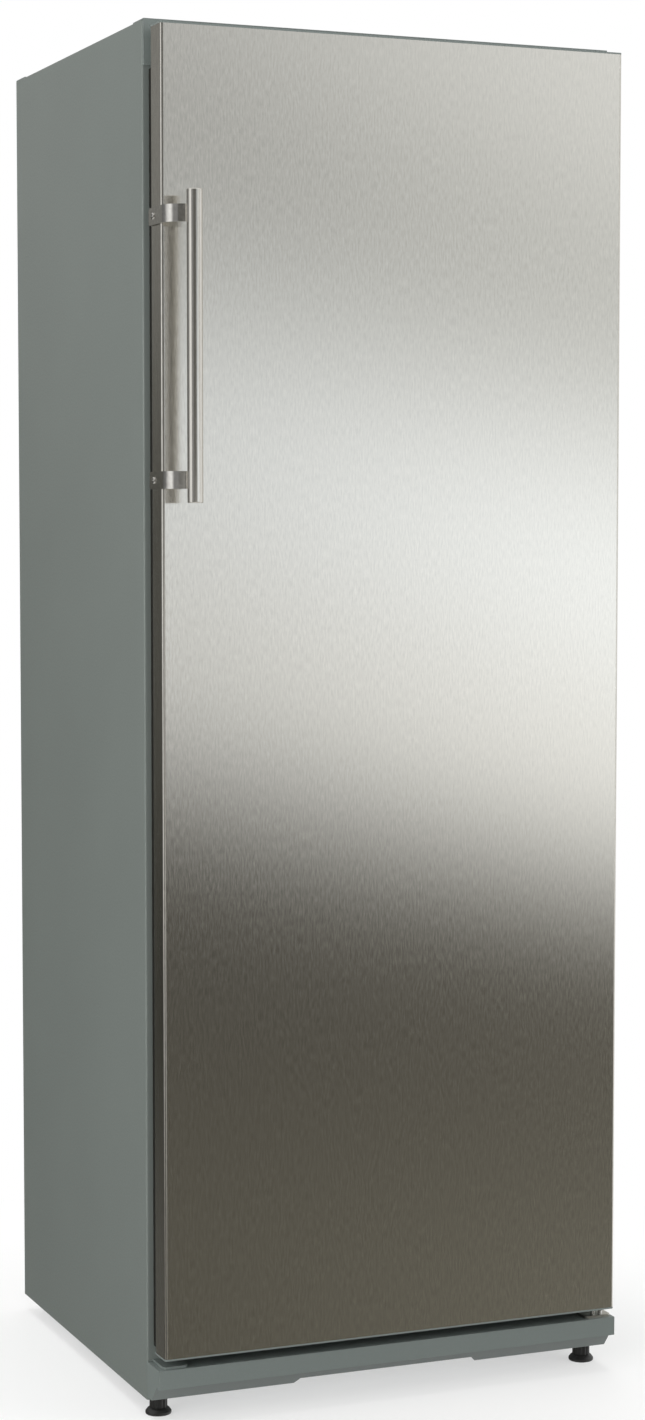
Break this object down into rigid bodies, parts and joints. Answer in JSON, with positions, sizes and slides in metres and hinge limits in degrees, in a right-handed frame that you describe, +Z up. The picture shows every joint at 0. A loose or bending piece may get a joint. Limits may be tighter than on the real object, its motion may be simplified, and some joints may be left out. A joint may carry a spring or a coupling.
{
  "type": "upright freezer",
  "caption": "Tall free-standing freezer with a single stainless door, long bar handle, pull-out drawers on evaporator shelves and a wire-on-tube condenser behind.",
  "frame": {"origin": "on the floor under the middle of the whole object, handle and rear condenser included", "axes": "+Z up, -Y out through the door, +X to the right of someone facing the door, where the hinges are"},
  "size_m": [0.6, 0.6261, 1.63],
  "materials": {
    "painted_side": "satin",
    "stainless_skin": "satin",
    "galvanised": "satin",
    "zinc_plated": "satin",
    "grey_plastic": "satin",
    "dark_plastic": "matte",
    "white_liner": "gloss",
    "foam": "matte",
    "gasket_rubber": "matte",
    "magnet_strip": "matte",
    "handle_steel": "satin",
    "bright_steel": "polished",
    "black_paint": "gloss",
    "black_rubber": "matte",
    "condenser_paint": "satin",
    "evaporator_paint": "satin",
    "drawer_plastic": "gloss",
    "nylon": "satin",
    "lens_plastic": "gloss",
    "pipe_metal": "satin",
    "drier_metal": "satin"
  },
  "bodies": {
    "cabinet": {"left_side_panel": "painted_side", "right_side_panel": "painted_side", "top_panel": "painted_side", "back_panel": "galvanised", "front_frame_rails": "painted_side", "base_panel": "galvanised", "front_crossbar": "galvanised", "inner_liner": "white_liner", "insulation_foam": "foam", "front_top_trim": "grey_plastic", "rear_top_trim": "grey_plastic", "plinth": "grey_plastic", "hinge_blank_plate": "grey_plastic", "lower_hinge_bracket": "zinc_plated", "upper_hinge_bracket": "zinc_plated", "hinge_pins": "bright_steel", "hinge_screws": "zinc_plated", "control_housing": "dark_plastic", "indicator_lenses": "lens_plastic", "compressor": "black_paint", "compressor_grommets": "black_rubber", "relay_cover": "dark_plastic", "cord_gland": "dark_plastic", "condenser_coil": "condenser_paint", "condenser_wires": "condenser_paint", "condenser_clips": "nylon", "filter_drier": "drier_metal", "refrigerant_pipes": "pipe_metal", "compressor_tray": "galvanised", "evaporator_wires": "evaporator_paint", "evaporator_coil_1": "evaporator_paint", "evaporator_coil_2": "evaporator_paint", "evaporator_coil_3": "evaporator_paint", "evaporator_coil_4": "evaporator_paint", "evaporator_coil_5": "evaporator_paint", "evaporator_coil_6": "evaporator_paint"},
    "door": {"door_skin": "stainless_skin", "door_top_cap": "grey_plastic", "door_bottom_cap": "grey_plastic", "door_foam": "foam", "door_inner_liner": "white_liner", "door_gasket": "gasket_rubber", "gasket_magnets": "magnet_strip", "hinge_bushes": "nylon", "handle_bar": "handle_steel", "handle_brackets": "handle_steel", "handle_screws": "bright_steel", "door_side_plugs": "grey_plastic"},
    "thermostat_knob": {"thermostat_knob": "grey_plastic"},
    "fast_freeze_switch": {"fast_freeze_switch": "dark_plastic"},
    "roller_left": {"roller_left": "nylon"},
    "roller_right": {"roller_right": "nylon"},
    "foot_left": {"foot_left": "dark_plastic"},
    "foot_right": {"foot_right": "dark_plastic"},
    "drawer_1": {"drawer_1": "drawer_plastic"},
    "drawer_2": {"drawer_2": "drawer_plastic"},
    "drawer_3": {"drawer_3": "drawer_plastic"},
    "drawer_4": {"drawer_4": "drawer_plastic"},
    "drawer_5": {"drawer_5": "drawer_plastic"},
    "drawer_6": {"drawer_6": "drawer_plastic"}
  },
  "joints": [
    {"name": "door_hinge", "type": "hinge", "parent": "cabinet", "child": "door", "pos_m": [0.275, -0.24605, 0.85], "axis": [0, 0, 1], "range_deg": [0, 110]},
    {"name": "drawer_1_slide", "type": "slide", "parent": "cabinet", "child": "drawer_1", "axis": [0, -1, 0], "range_m": [0, 0.158]},
    {"name": "drawer_2_slide", "type": "slide", "parent": "cabinet", "child": "drawer_2", "axis": [0, -1, 0], "range_m": [0, 0.158]},
    {"name": "drawer_3_slide", "type": "slide", "parent": "cabinet", "child": "drawer_3", "axis": [0, -1, 0], "range_m": [0, 0.158]},
    {"name": "drawer_4_slide", "type": "slide", "parent": "cabinet", "child": "drawer_4", "axis": [0, -1, 0], "range_m": [0, 0.158]},
    {"name": "drawer_5_slide", "type": "slide", "parent": "cabinet", "child": "drawer_5", "axis": [0, -1, 0], "range_m": [0, 0.158]},
    {"name": "drawer_6_slide", "type": "slide", "parent": "cabinet", "child": "drawer_6", "axis": [0, -1, 0], "range_m": [0, 0.158]},
    {"name": "thermostat_turn", "type": "hinge", "parent": "cabinet", "child": "thermostat_knob", "pos_m": [-0.19, -0.21805, 1.602], "axis": [0, -1, 0], "range_deg": [-270, 0]},
    {"name": "fast_freeze_rock", "type": "hinge", "parent": "cabinet", "child": "fast_freeze_switch", "pos_m": [-0.14, -0.21055, 1.602], "axis": [1, 0, 0], "range_deg": [-8, 8]},
    {"name": "roller_left_spin", "type": "hinge", "parent": "cabinet", "child": "roller_left", "pos_m": [-0.255, 0.25595, 0.012], "axis": [1, 0, 0], "continuous": true},
    {"name": "roller_right_spin", "type": "hinge", "parent": "cabinet", "child": "roller_right", "pos_m": [0.255, 0.25595, 0.012], "axis": [1, 0, 0], "continuous": true},
    {"name": "foot_left_turn", "type": "hinge", "parent": "cabinet", "child": "foot_left", "pos_m": [-0.282, -0.20205, 0.03], "axis": [0, 0, 1], "continuous": true},
    {"name": "foot_right_turn", "type": "hinge", "parent": "cabinet", "child": "foot_right", "pos_m": [0.282, -0.20205, 0.03], "axis": [0, 0, 1], "continuous": true}
  ],
  "couplings": [
    {"joint": "drawer_1_slide", "follows": "door_hinge", "m_per_rad": 0.082},
    {"joint": "drawer_2_slide", "follows": "door_hinge", "m_per_rad": 0.082},
    {"joint": "drawer_3_slide", "follows": "door_hinge", "m_per_rad": 0.082},
    {"joint": "drawer_4_slide", "follows": "door_hinge", "m_per_rad": 0.082},
    {"joint": "drawer_5_slide", "follows": "door_hinge", "m_per_rad": 0.082},
    {"joint": "drawer_6_slide", "follows": "door_hinge", "m_per_rad": 0.082}
  ]
}
